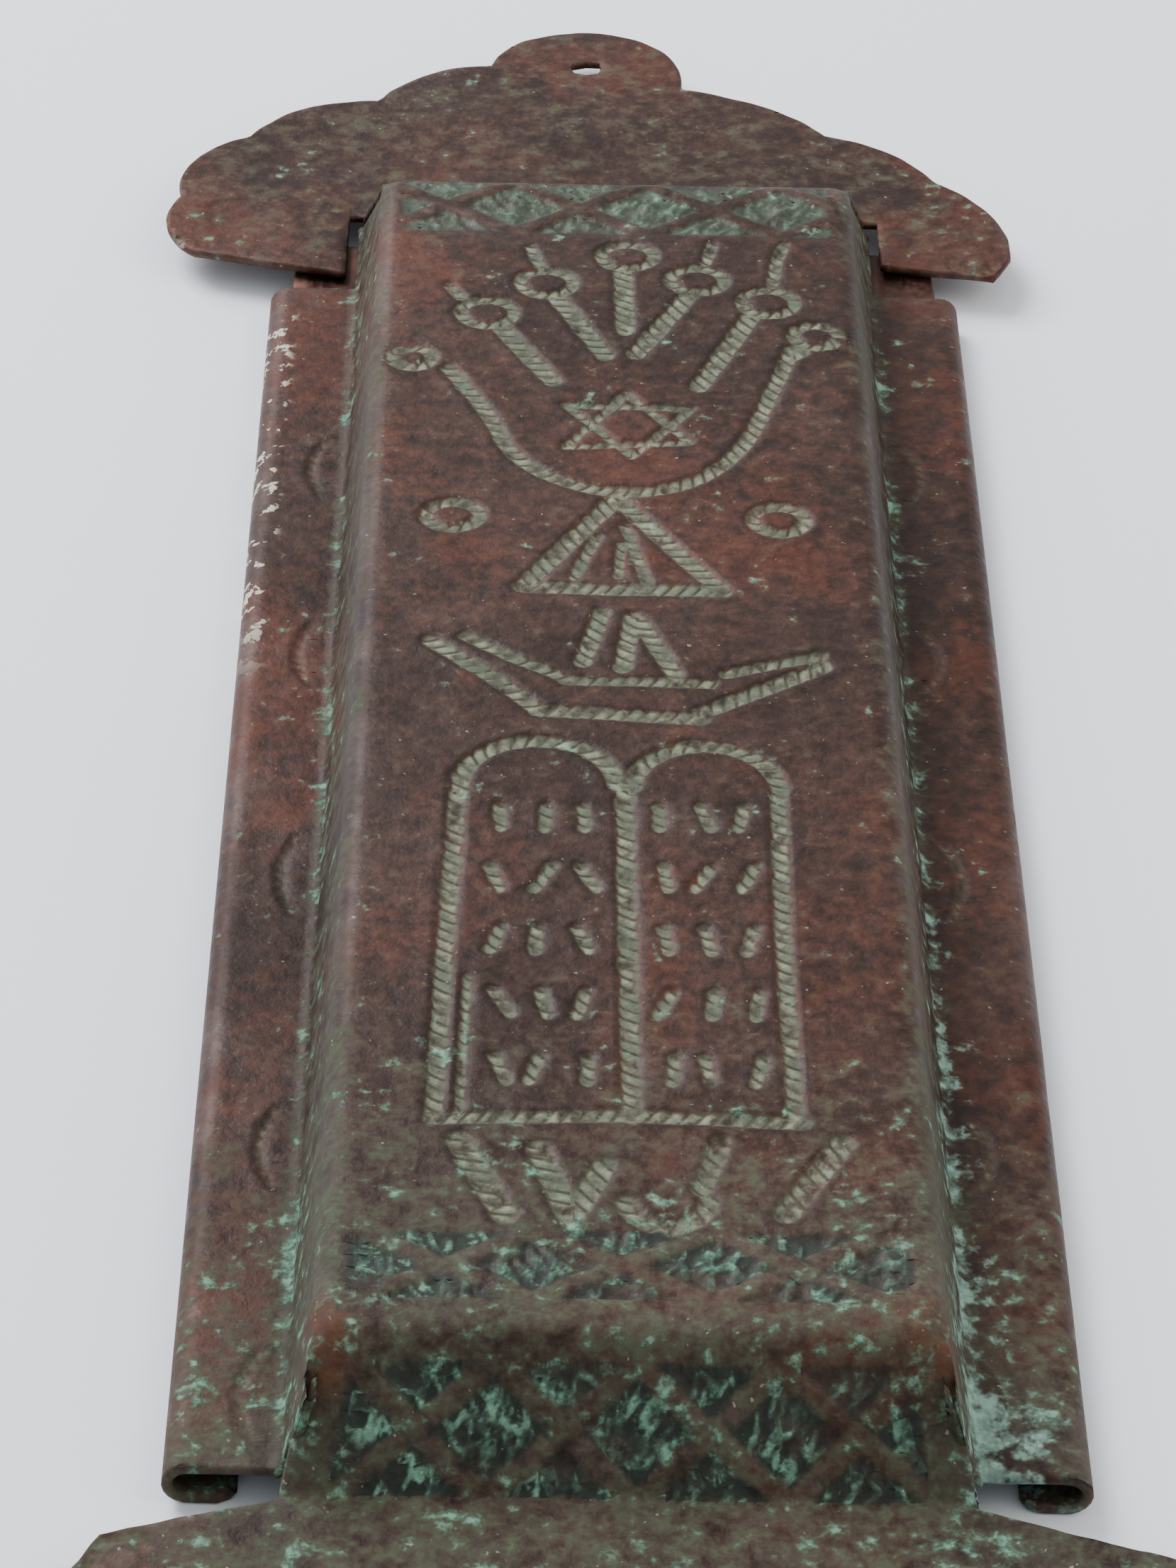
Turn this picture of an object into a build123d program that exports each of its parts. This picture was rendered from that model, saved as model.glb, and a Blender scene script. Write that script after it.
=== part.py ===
from build123d import *
import math
import os

# A hand-folded copper mezuzah case lying on its back.
# X runs across the case, +Y towards the upper crest, +Z out of the front.
# The origin lies midway between the two crest tips, on the surface that the hems rest on.
# All sizes are in millimetres.

# ---- driving sizes ----
sheet = 0.6                 # thickness of the cover's copper sheet
slit = 0.7                  # gap along a cut between parts of the sheet

plate_thickness = 1.0       # sliding back plate
plate_gap = 0.3             # above and below the plate, in the hems
plate_side_gap = 0.1        # plate's edge to the start of the hem's curl
plate_end_gap = 0.5         # plate shorter than the strips, at each end
plate_open_by = 8.0         # how far the plate stands up from its closed place
plate_corner_radius = 1.5

scroll_radius = 3.1         # rolled parchment
scroll_wall = 1.4           # its rolled layers together
scroll_gap = 0.3            # scroll to back plate
scroll_headroom = 0.5       # scroll to the inside of the box's top
scroll_side_room = 3.9      # scroll to the near side wall, at the scroll's top
scroll_end_room = 11.5      # scroll to each end face, at the scroll's top

box_foot_width = 37.2       # raised box across its feet
box_foot_length = 133.0     # raised box from foot to foot
side_run = 1.8              # how far each side wall leans in
end_run = 6.0               # how far each end face leans in
long_edge_radius = 1.5      # bend between the top and a side wall, outside
ridge_radius = 1.8          # bend between the top and an end face, outside

strip_width = 6.4           # flat strip from the wall's foot to the outside of the hem
lip_reach = 4.0             # how far the folded lip comes in under the strip
strip_start_gap = 2.0       # box's lower foot to the lower end of the strips
strip_end_gap = 2.1         # upper end of the strips to the upper crest's shoulders
strip_corner_radius = 1.2

crest_height = 37.4         # from the shoulder line to the tip of the middle lobe
crest_overhang = 8.0        # how far a wing reaches past the strip's edge
shoulder_lap = 8.1          # how far the upper crest comes down beside the box
neck_length = 1.9           # box's lower foot to the lower crest's shoulder line

nail_hole_radius = 1.2
nail_hole_inset = 6.1       # from the crest's tip to the nail hole
nail_hole_offset = 2.0      # nail holes sit to one side of the middle

# ---- worked out from the driving sizes ----
hem_height = 2 * sheet + plate_thickness + 2 * plate_gap
hem_radius = hem_height / 2
strip_top = hem_height
strip_under = hem_height - sheet
plate_under = sheet + plate_gap
plate_top = plate_under + plate_thickness
scroll_middle_z = plate_top + scroll_gap + scroll_radius
scroll_top = scroll_middle_z + scroll_radius
box_inside = scroll_top + scroll_headroom
box_top = box_inside + sheet
box_rise = box_top - strip_top

half_foot = box_foot_width / 2
half_body = half_foot + strip_width
curl_x = half_body - hem_radius
side_wall_across = sheet * math.hypot(1, side_run / box_rise)
end_wall_along = sheet * math.hypot(1, end_run / box_rise)
slit_along = slit * math.hypot(1, end_run / box_rise)

box_middle_y = (shoulder_lap + neck_length) / 2
box_start = box_middle_y - box_foot_length / 2
box_end = box_middle_y + box_foot_length / 2
shoulder_y = box_end - shoulder_lap      # the lower shoulders are as far from the origin
strip_start = box_start + strip_start_gap
strip_end = shoulder_y - strip_end_gap
strip_length = strip_end - strip_start
crest_half_width = half_body + crest_overhang
crest_tip = shoulder_y + crest_height
clear_of_all = 4 * box_top               # height of a cutter that passes through everything


def inset(z, run):
    """How far a leaning wall stands in from its foot at height z."""
    return run * (z - strip_top) / box_rise


def frustum(z_low, z_high, side_in, end_in):
    """Leaning box between two heights, shrunk by the given amounts on each side."""
    outlines = []
    for z in (z_low, z_high):
        half_x = half_foot - side_in - inset(z, side_run)
        half_y = box_foot_length / 2 - end_in - inset(z, end_run)
        outlines.append(Pos(0, box_middle_y, z) * Rectangle(2 * half_x, 2 * half_y))
    return loft(outlines)


def rounded_frustum(z_low, z_high, side_in, end_in, long_radius, end_radius):
    """Frustum with its two long top edges and its two end ridges rounded."""
    solid = frustum(z_low, z_high, side_in, end_in)
    long_edges = solid.edges().group_by(Axis.Z)[-1].filter_by(Axis.Y)
    solid = fillet(long_edges, long_radius)
    ridges = [edge for edge in solid.edges().filter_by(Axis.X) if edge.center().Z > z_high - 0.01]
    return fillet(ridges, end_radius)


def channel():
    """Right-hand strip with its outer edge folded under as a C-shaped hem."""
    inner_x = half_foot - side_wall_across
    lip_x = half_body - lip_reach
    section = make_face([
        Line((inner_x, strip_top), (curl_x, strip_top)),
        ThreePointArc((curl_x, strip_top), (half_body, hem_radius), (curl_x, 0)),
        Line((curl_x, 0), (lip_x, 0)),
        Line((lip_x, 0), (lip_x, sheet)),
        Line((lip_x, sheet), (curl_x, sheet)),
        ThreePointArc((curl_x, sheet), (half_body - sheet, hem_radius), (curl_x, strip_under)),
        Line((curl_x, strip_under), (inner_x, strip_under)),
        Line((inner_x, strip_under), (inner_x, strip_top)),
    ])
    solid = extrude(Plane.XZ * section, amount=strip_length, dir=(0, 1, 0))
    solid = Pos(0, strip_start, 0) * solid
    lip_corners = [
        edge for edge in solid.edges().filter_by(Axis.Z)
        if abs(edge.center().X - lip_x) < 0.01
    ]
    return fillet(lip_corners, strip_corner_radius)


def crest(shoulder_left, shoulder_right):
    """Scalloped plate of the upper end. Each shoulder starts at the given share of the height."""

    def at(across, up):
        """A point of the outline, in shares of the half width and of the height."""
        return (across * crest_half_width, shoulder_y + up * crest_height)

    wing_left = at(-0.94, 0.075)
    side_left = at(-0.97, 0.28)
    notches_left = [at(-0.84, 0.527), at(-0.545, 0.685), at(-0.288, 0.845)]
    notches_right = [at(0.164, 0.76), at(0.494, 0.567), at(0.74, 0.385)]
    wing_right = at(0.882, 0.083)
    corner_right = at(0.842, 0.024)
    start = at(-0.58, shoulder_left)
    end = at(0.56, shoulder_right)

    outline = make_face([
        Line(start, wing_left),
        ThreePointArc(wing_left, at(-1.0, 0.163), side_left),
        ThreePointArc(side_left, at(-0.955, 0.46), notches_left[0]),
        ThreePointArc(notches_left[0], at(-0.712, 0.645), notches_left[1]),
        ThreePointArc(notches_left[1], at(-0.439, 0.793), notches_left[2]),
        ThreePointArc(notches_left[2], at(-0.085, 1.0), notches_right[0]),
        ThreePointArc(notches_right[0], at(0.348, 0.695), notches_right[1]),
        ThreePointArc(notches_right[1], at(0.652, 0.49), notches_right[2]),
        ThreePointArc(notches_right[2], at(0.855, 0.27), wing_right),
        Line(wing_right, corner_right),
        Line(corner_right, end),
        Line(end, start),
    ])
    plate = extrude(Pos(0, 0, strip_under) * outline, amount=sheet)
    nail_y = crest_tip - nail_hole_inset
    hole = Pos(-nail_hole_offset, nail_y, strip_under) * Cylinder(nail_hole_radius, 4 * sheet)
    return plate - hole


def foot_joint(foot_y, direction):
    """Strip of sheet under an end face's foot, which runs on into the crest."""
    into_crest = neck_length + 2 * sheet
    low_y, high_y = sorted((foot_y - direction * end_wall_along, foot_y + direction * into_crest))
    return Pos(0, (low_y + high_y) / 2, strip_under + sheet / 2) * Box(
        box_foot_width, high_y - low_y, sheet)


def corner_slit(side, foot_y, direction):
    """Cut that parts one side wall from an end face, along the inside of the end face."""
    low_z = strip_under - sheet
    high_z = box_top - 2 * sheet

    def inner_y(z):
        return foot_y - direction * (end_wall_along + inset(z, end_run))

    step = direction * slit_along
    section = make_face(Polyline(
        (inner_y(low_z), low_z), (inner_y(high_z), high_z),
        (inner_y(high_z) - step, high_z), (inner_y(low_z) - step, low_z), close=True))
    inner_x = half_foot - side_wall_across - inset(high_z, side_run) - sheet
    cut = extrude(Plane.YZ * section, amount=half_foot + sheet - inner_x, dir=(1, 0, 0))
    cut = Pos(inner_x, 0, 0) * cut
    return cut if side > 0 else mirror(cut, about=Plane.YZ)


def front_cover():
    """The whole front: box, strips, hems and both crests, cut and folded from one sheet."""
    upper = crest(shoulder_left=0.0, shoulder_right=0.059)
    lower = Rot(0, 0, 180) * crest(shoulder_left=-0.048, shoulder_right=-0.048)

    # the upper shoulders stop short of the box's side walls
    upper -= Pos(0, box_end - crest_height / 2, 0) * Box(
        box_foot_width + 2 * slit, crest_height, clear_of_all)

    strip = channel()
    cover = rounded_frustum(strip_under, box_top, 0, 0, long_edge_radius, ridge_radius)
    cover += strip + mirror(strip, about=Plane.YZ)
    cover += upper + foot_joint(box_end, 1)
    cover += lower + foot_joint(box_start, -1)
    cover -= rounded_frustum(strip_under - 2 * sheet, box_inside, side_wall_across,
                             end_wall_along, long_edge_radius - sheet, ridge_radius - sheet)
    for foot_y, direction in ((box_start, -1), (box_end, 1)):
        for side in (-1, 1):
            cover -= corner_slit(side, foot_y, direction)
    return cover


def back_plate():
    """Flat plate that slides in the two hems and closes the box from behind."""
    length = strip_length - 2 * plate_end_gap
    outline = RectangleRounded(2 * (curl_x - plate_side_gap), length, plate_corner_radius)
    plate_y = (strip_start + strip_end) / 2 + plate_open_by
    return extrude(Pos(0, plate_y, plate_under) * outline, amount=plate_thickness)


def scroll():
    """Rolled parchment lying along the box beside its free space."""
    half_room = box_foot_length / 2 - end_wall_along - inset(scroll_top, end_run)
    length = 2 * (half_room - scroll_end_room)
    wall_x = half_foot - side_wall_across - inset(scroll_top, side_run)
    scroll_x = -(wall_x - scroll_side_room - scroll_radius)
    ring = Circle(scroll_radius) - Circle(scroll_radius - scroll_wall)
    roll = extrude(Plane.XZ * ring, amount=length, dir=(0, 1, 0))
    return Pos(scroll_x, box_middle_y - length / 2, scroll_middle_z) * roll


nodes = {
    "front_cover": front_cover(),
    "back_plate": back_plate(),
    "scroll": scroll(),
}

os.makedirs("parts", exist_ok=True)
for name, shape in nodes.items():
    export_step(shape, f"parts/{name}.step")
    print(name, round(shape.volume, 2), shape.bounding_box())
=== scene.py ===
import functools
import math
import random
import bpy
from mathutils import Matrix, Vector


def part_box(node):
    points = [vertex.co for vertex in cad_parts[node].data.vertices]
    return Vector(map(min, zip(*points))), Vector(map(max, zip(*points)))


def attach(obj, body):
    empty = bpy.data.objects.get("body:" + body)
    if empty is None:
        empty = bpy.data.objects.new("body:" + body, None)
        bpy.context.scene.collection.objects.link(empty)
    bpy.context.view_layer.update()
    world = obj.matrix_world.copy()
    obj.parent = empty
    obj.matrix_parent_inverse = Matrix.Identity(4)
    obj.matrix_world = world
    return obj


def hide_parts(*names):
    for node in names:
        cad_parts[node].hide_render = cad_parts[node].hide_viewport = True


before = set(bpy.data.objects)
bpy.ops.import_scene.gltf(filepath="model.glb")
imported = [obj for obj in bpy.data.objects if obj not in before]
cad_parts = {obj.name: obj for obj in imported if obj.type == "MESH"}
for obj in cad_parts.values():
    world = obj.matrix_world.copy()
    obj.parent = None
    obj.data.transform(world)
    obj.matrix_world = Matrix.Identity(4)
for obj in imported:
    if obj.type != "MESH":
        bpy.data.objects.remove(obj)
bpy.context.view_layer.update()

import types
import bpy
import bmesh
import numpy as np
from mathutils import Euler, Vector, noise

mm = 0.001

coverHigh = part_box("front_cover")[1] / mm
plateLow, plateHigh = [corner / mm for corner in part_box("back_plate")]
rollLow, rollHigh = [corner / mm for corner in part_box("scroll")]


def roundedPath(corners, radii, step=0.05):
    # a line through the corners with each inner corner turned by an arc, as dense points
    corners = [Vector(c) for c in corners]
    points = [corners[0]]
    for before, corner, after, radius in zip(corners, corners[1:], corners[2:], radii):
        inDir = (corner - before).normalized()
        outDir = (after - corner).normalized()
        turn = inDir.angle(outDir)
        reach = radius * math.tan(turn / 2)
        side = 1 if inDir.x * outDir.y - inDir.y * outDir.x > 0 else -1
        centre = corner - inDir * reach + Vector((-inDir.y, inDir.x)) * radius * side
        start = corner - inDir * reach
        count = max(3, int(radius * turn / step))
        for k in range(count + 1):
            angle = side * turn * k / count
            arm = start - centre
            points.append(centre + Vector((arm.x * math.cos(angle) - arm.y * math.sin(angle),
                                           arm.x * math.sin(angle) + arm.y * math.cos(angle))))
    points.append(corners[-1])
    points = np.array([p[:] for p in points])
    lengths = np.concatenate(([0], np.cumsum(np.hypot(*np.diff(points, axis=0).T))))
    return points, lengths


def curveThrough(points, steps=8):
    # smooth line through the given points
    p = [np.array(q, float) for q in points]
    p = [2 * p[0] - p[1]] + p + [2 * p[-1] - p[-2]]
    line = []
    for a, b, c, d in zip(p, p[1:], p[2:], p[3:]):
        for k in range(steps):
            t = k / steps
            line.append(0.5 * (2 * b + (c - a) * t + (2 * a - 5 * b + 4 * c - d) * t * t
                               + (3 * b - a - 3 * c + d) * t ** 3))
    line.append(p[-2])
    return line


def arcThrough(a, b, c, steps=10):
    # circle arc from a over b to c
    ax, ay, bx, by, cx, cy = *a, *b, *c
    d = 2 * (ax * (by - cy) + bx * (cy - ay) + cx * (ay - by))
    a2, b2, c2 = ax * ax + ay * ay, bx * bx + by * by, cx * cx + cy * cy
    centre = np.array([(a2 * (by - cy) + b2 * (cy - ay) + c2 * (ay - by)) / d,
                       (a2 * (cx - bx) + b2 * (ax - cx) + c2 * (bx - ax)) / d])
    angles = [math.atan2(q[1] - centre[1], q[0] - centre[0]) for q in (a, b, c)]
    full = 2 * math.pi
    sweep = (angles[2] - angles[0]) % full
    if (angles[1] - angles[0]) % full > sweep:
        sweep -= full
    radius = math.hypot(ax - centre[0], ay - centre[1])
    return [centre + radius * np.array([math.cos(angles[0] + sweep * k / steps),
                                        math.sin(angles[0] + sweep * k / steps)])
            for k in range(steps + 1)]


def smoothStep(low, high, value):
    t = np.clip((value - low) / (high - low), 0, 1)
    return t * t * (3 - 2 * t)


def wobble(points, size, seed):
    # soft noise between -1 and 1 at each point
    return np.array([noise.noise(Vector((x / size, y / size, seed * 7.3)))
                     for x, y in points[:, :2]])


farAway = 9.0                  # mm, past every reach that a tool mark has


class StrokeSet:
    # tool strokes on the flat sheet: how far each point is from the nearest one
    def __init__(self):
        self.rows = []

    def line(self, points, width):
        points = [np.array(p, float) for p in points]
        run = 0.0
        for a, b in zip(points, points[1:]):
            self.rows.append((*a, *b, width / 2, run))
            run += float(np.hypot(*(b - a)))

    def ring(self, centre, outer, inner, squash=1.0):
        middle = (outer + inner) / 2
        count = 24
        points = [(centre[0] + middle * math.cos(2 * math.pi * k / count),
                   centre[1] + middle * squash * math.sin(2 * math.pi * k / count))
                  for k in range(count + 1)]
        self.line(points, outer - inner)

    def measure(self, points, chunk=6000):
        # distance to the stroke's edge, place along it, place across it
        rows = np.array(self.rows)
        a, b, half, start = rows[:, :2], rows[:, 2:4], rows[:, 4], rows[:, 5]
        d = b - a
        length = np.maximum(np.hypot(*d.T), 1e-6)
        unit = d / length[:, None]
        edge = np.full(len(points), farAway)
        along = np.zeros(len(points))
        across = np.zeros(len(points))
        for k in range(0, len(points), chunk):
            rel = points[k:k + chunk, None, :] - a[None]
            t = (rel * unit).sum(2)
            s = rel[..., 0] * unit[:, 1] - rel[..., 1] * unit[:, 0]
            over = np.maximum(np.maximum(-t, t - length), 0)
            gap = np.hypot(s, over) - half
            best = gap.argmin(1)
            rowsHere = np.arange(len(best))
            edge[k:k + chunk] = gap[rowsHere, best]
            along[k:k + chunk] = (t + start)[rowsHere, best]
            across[k:k + chunk] = s[rowsHere, best]
        return np.minimum(edge, farAway), along, across


def insideGap(polygon, points):
    # signed distance to a closed outline, negative inside
    polygon = np.array(polygon)
    nextOne = np.roll(polygon, -1, axis=0)
    d = nextOne - polygon
    length2 = np.maximum((d ** 2).sum(1), 1e-9)
    distance = np.full(len(points), 1e9)
    inside = np.zeros(len(points), bool)
    for a, b, side, squared in zip(polygon, nextOne, d, length2):
        rel = points - a
        t = np.clip((rel @ side) / squared, 0, 1)
        distance = np.minimum(distance, np.hypot(*(rel - t[:, None] * side).T))
        crosses = (a[1] > points[:, 1]) != (b[1] > points[:, 1])
        rise = side[1] if side[1] else 1e-9
        inside ^= crosses & (points[:, 0] < a[0] + (points[:, 1] - a[1]) * side[0] / rise)
    return np.where(inside, -distance, distance)


def refine(bm, spacing, rounds, places=None):
    # halve the faces that are coarser than the wanted spacing
    places = places or (lambda faces: [f.calc_center_median()[:2] for f in faces])
    for halving in range(rounds):
        faces = [f for f in bm.faces if not f.hide]
        wanted = spacing(np.array(places(faces)))
        coarse = [f for f, gap in zip(faces, wanted) if f.calc_perimeter() / 4 > 1.4 * gap]
        edges = {e for f in coarse for e in f.edges}
        bmesh.ops.subdivide_edges(bm, edges=[e for e in edges if not e.hide], cuts=1, use_grid_fill=True)


def snip(bm, outside, tooNear=0.2):
    # cut the flat sheet along the line where outside() is zero and drop what lies beyond;
    # a point closer to the line than tooNear of its edge slides onto it instead
    verts = list(bm.verts)
    for i, v in enumerate(verts):
        v.index = i
    places = np.array([v.co[:2] for v in verts])
    side = outside(places)
    edges = list(bm.edges)
    ends = np.array([(e.verts[0].index, e.verts[1].index) for e in edges])
    crossing = np.nonzero(side[ends[:, 0]] * side[ends[:, 1]] < 0)[0]
    low, high = np.zeros(len(crossing)), np.ones(len(crossing))
    a, b = places[ends[crossing, 0]], places[ends[crossing, 1]]
    first = np.sign(side[ends[crossing, 0]])
    for halving in range(14):
        middle = (low + high) / 2
        same = np.sign(outside(a + (b - a) * middle[:, None])) == first
        low, high = np.where(same, middle, low), np.where(same, high, middle)
    slides, slid, cuts = [], set(), []
    for k, t in zip(crossing, (low + high) / 2):
        edge = edges[k]
        near = edge.verts[0] if t < 0.5 else edge.verts[1]
        if min(t, 1 - t) >= tooNear:
            cuts.append((edge, float(t)))
        elif near.index not in slid:
            slid.add(near.index)
            slides.append((near, edge.verts[0].co.lerp(edge.verts[1].co, t)))
    for vert, place in slides:
        vert.co = place
    onLine = [vert for vert, place in slides]
    for edge, t in cuts:
        if not any(v.index in slid for v in edge.verts):
            onLine.append(bmesh.utils.edge_split(edge, edge.verts[0], t)[1])
    bmesh.ops.connect_verts(bm, verts=onLine)
    faces = list(bm.faces)
    centres = np.array([f.calc_center_median()[:2] for f in faces])
    gone = [f for f, s in zip(faces, outside(centres)) if s > 0]
    bmesh.ops.delete(bm, geom=gone, context='FACES')


def flatGrid(columns, rows, width, height, middle=(0, 0)):
    bm = bmesh.new()
    bmesh.ops.create_grid(bm, x_segments=columns, y_segments=rows, size=0.5)
    bmesh.ops.scale(bm, vec=(width, height, 1), verts=bm.verts)
    bmesh.ops.translate(bm, vec=(*middle, 0), verts=bm.verts)
    return bm


def thicken(bm, thickness, roundBy, underside):
    # give the sheet its thickness away from its face, then round the cut edges a little
    depth = bm.verts.layers.float["depth"]
    outer = set(bm.verts)
    bmesh.ops.solidify(bm, geom=bm.faces[:], thickness=thickness)
    inner = [v for v in bm.verts if v not in outer]
    for v, place in zip(inner, underside(inner)):
        v.co = place
        v[depth] = 1.0
    rims = [e for e in bm.edges if e.verts[0][depth] != e.verts[1][depth]]
    rimFaces = {f for e in rims for f in e.link_faces}
    bm.normal_update()
    pull = []
    for v in {v for e in rims for v in e.verts}:
        away = sum((f.normal for f in v.link_faces if f in rimFaces), Vector())
        pull.append((v, v.co - away.normalized() * roundBy))
    for v, place in pull:
        v.co = place
    made = bmesh.ops.subdivide_edges(bm, edges=rims, cuts=2)
    bm.normal_update()
    for v in {g for g in made["geom_inner"] if isinstance(g, bmesh.types.BMVert)}:
        v.co += v.normal * roundBy


def finishMesh(bm, name, smooth=True):
    bmesh.ops.scale(bm, vec=(mm, mm, mm), verts=bm.verts)
    mesh = bpy.data.meshes.new(name)
    bm.to_mesh(mesh)
    bm.free()
    if smooth:
        mesh.polygons.foreach_set("use_smooth", [True] * len(mesh.polygons))
    piece = bpy.data.objects.new(name, mesh)
    bpy.context.scene.collection.objects.link(piece)
    return piece


coverSize = {
    "sheet": 0.6,              # all in millimetres
    "footWidth": 37.2,
    "footStart": -61.5,        # where the end faces meet the crests
    "footEnd": 71.5,
    "sideRun": 1.8,
    "endRun": 6.0,
    "topBend": 1.5,
    "ridgeBend": 1.8,
    "footBend": 0.4,
    "hemBend": 1.4,
    "bodyWidth": 50.0,
    "lipReach": 4.0,
    "stripStart": -59.5,
    "stripEnd": 61.3,
    "endGap": 1.74,            # side walls stop this far short of the end faces
    "footColumns": 19,         # coarse mesh faces from the middle line to the seam, halved twice under tools
    "strokeDepth": 0.17,
    "lipHeight": 0.05,         # metal pushed up beside a stroke
    "ropeHeight": 0.06,
    "fieldDepth": 0.22,
    "cutHeight": 0.16,
    "studHeight": 0.3,
    "cutRound": 0.11,
    "cornerRound": 1.3,
    "bandHalf": 15.4,          # the lattice bands stop this far from the middle line
    "ridgeReach": 2.2,         # length over which the sides turn to follow the end faces
}
size = coverSize
stripTop = 2 * size["hemBend"]
boxTop = coverHigh.z
boxRise = boxTop - stripTop

strokes = StrokeSet()


def chaseMenorah():
    # seven ringed lamps on stems over a bowed branch
    lamps = [
        ((-14.2, 41.3), 1.9, None, None),
        ((-9.1, 47.2), 2.4, [(-11.8, 50.7), (-11.0, 49.2)], [(-8.0, 45.0), (-4.5, 38.6)]),
        ((-5.0, 51.3), 2.4, [(-6.2, 56.3), (-5.5, 53.8)], [(-4.2, 49.1), (-0.9, 42.0)]),
        ((0.7, 55.1), 2.4, None, [(0.4, 52.8), (0.5, 45.3)]),
        ((5.6, 51.9), 2.4, [(6.8, 57.0), (6.3, 54.4)], [(4.9, 49.7), (1.2, 42.2)]),
        ((10.5, 49.1), 2.4, [(11.9, 57.0), (11.2, 54.4), (10.9, 51.6)], [(9.2, 47.1), (5.5, 38.2)]),
        ((13.7, 44.8), 2.1, None, [(12.6, 43.0), (12.0, 42.4)]),
    ]
    for centre, outer, flame, stem in lamps:
        strokes.ring(centre, outer, outer - 1.05, 0.88)
        if flame:
            strokes.line(flame, 1.0)
        if stem:
            strokes.line(stem, 1.5)
    branch = [(-11.6, 40), (-9.2, 35), (-7.4, 30), (-5.2, 27), (-1.5, 25.1), (2.2, 25.1), (5.8, 27),
              (8.5, 31.2), (10.2, 36.8), (12, 43)]
    strokes.line(curveThrough(branch), 1.25)


def chaseStar():
    # two crossed triangles
    strokes.line([(-3.6, 35.6), (4.9, 35.2), (0.8, 29.2), (-3.6, 35.6)], 0.8)
    strokes.line([(-3.6, 30.3), (4.7, 31.1), (0.5, 37.1), (-3.6, 30.3)], 0.8)


def chaseSails():
    for x in (-11.0, 10.4):
        strokes.ring((x, 21.9), 2.3, 1.2, 0.9)
    strokes.line([(-6.4, 13.8), (-0.2, 24.2), (6.5, 13.6), (-6.4, 13.8)], 1.45)
    strokes.line([(-1.6, 19.5), (-3.1, 15.0)], 0.9)
    strokes.line([(0.3, 21.0), (1.6, 14.6)], 0.9)
    strokes.line([(0.1, 19.0), (-0.2, 15.2)], 0.8)
    for foot, top in (((-2.5, 5.6), (-1.3, 10.9)), ((0.0, 5.0), (0.7, 10.6)), ((3.3, 4.3), (1.1, 10.2))):
        strokes.line([top, foot], 1.3)


def chaseBoat():
    # hull and rail, each struck in three runs that nearly meet
    hull = [(-12.1, 7.7), (-8.0, 3.6), (-5.4, 0.6)], [(-5.3, 0.4), (4.8, -0.4)], [(4.9, 0.3), (12.7, 5.4)]
    rail = [(-9.9, 8.2), (-6.6, 5.6), (-3.8, 3.9)], [(-3.6, 3.6), (5.5, 3.4)], [(6.5, 4.5), (12.5, 6.5)]
    for runs, width in ((hull, 1.35), (rail, 1.05)):
        for run in runs:
            strokes.line(run, width)


def chaseTablets():
    # two arched tablets with rows of plain dashes
    strokes.line([(-10.9, -38.4), (-10.6, -24), (-10.1, -8)], 1.2)
    strokes.line([(-9.5, -38.2), (-9.2, -26)], 0.7)
    strokes.line(arcThrough((-10.0, -8.2), (-4.9, -2.8), (-0.4, -7.4)), 1.3)
    strokes.line(arcThrough((0.5, -7.4), (5.0, -3.2), (9.5, -7.4)), 1.3)
    strokes.line([(0.0, -7.0), (0.1, -22), (0.2, -38.2)], 1.3)
    strokes.line([(9.4, -7.2), (9.2, -22), (9.4, -38.0)], 1.15)
    strokes.line([(-11.0, -38.5), (0, -38.1), (9.7, -38.5)], 1.2)
    dice = random.Random(11)
    for row in range(5):
        y = -10.6 - 5.9 * row
        for centre in (-5.0, 4.8):
            for k in (-1, 0, 1):
                x = centre + 2.5 * k + dice.uniform(-0.3, 0.3)
                lean = dice.uniform(-0.5, 0.5)
                strokes.line([(x - lean, y + 1.1), (x + lean, y - 1.0)], 0.95)


def chaseLeaves():
    strokes.line([(-9.4, -40.4), (-6.8, -46.5)], 1.7)
    strokes.line([(-5.0, -41.0), (-3.2, -46.8), (-1.4, -42.4)], 1.6)
    strokes.line(arcThrough((-0.2, -45.4), (2.0, -47.4), (4.4, -45.2)), 1.3)
    strokes.line([(5.2, -40.2), (4.0, -44.2)], 1.3)
    strokes.line([(11.9, -40.2), (8.6, -46.2)], 1.6)


def chaseSides():
    # rope marks and half moons along the strips, beside the walls
    for side in (-1, 1):
        for start, end in ((-58.2, -50.5), (-37, -30), (-12, -4), (12, 19), (34, 41)):
            x = side * 24.6
            strokes.line(arcThrough((x, start), (x + side * 1.1, (start + end) / 2), (x, end)), 0.75)


chaseMenorah()
chaseStar()
chaseSails()
chaseBoat()
chaseTablets()
chaseLeaves()
chaseSides()

lattice = [
    # low and high edge of the band along the case, first crossing, pitch, width of the plain bars
    {"low": 58.3, "high": 65.4, "first": -2.6, "pitch": 9.6, "bar": 1.1},
    {"low": -53.2, "high": -47.8, "first": -0.4, "pitch": 9.6, "bar": 1.1},
    {"low": -64.6, "high": -57.2, "first": -3.5, "pitch": 7.75, "bar": 1.15},
    {"low": 67.6, "high": 74.2, "first": -2.6, "pitch": 8.6, "bar": 1.15},
]


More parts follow.
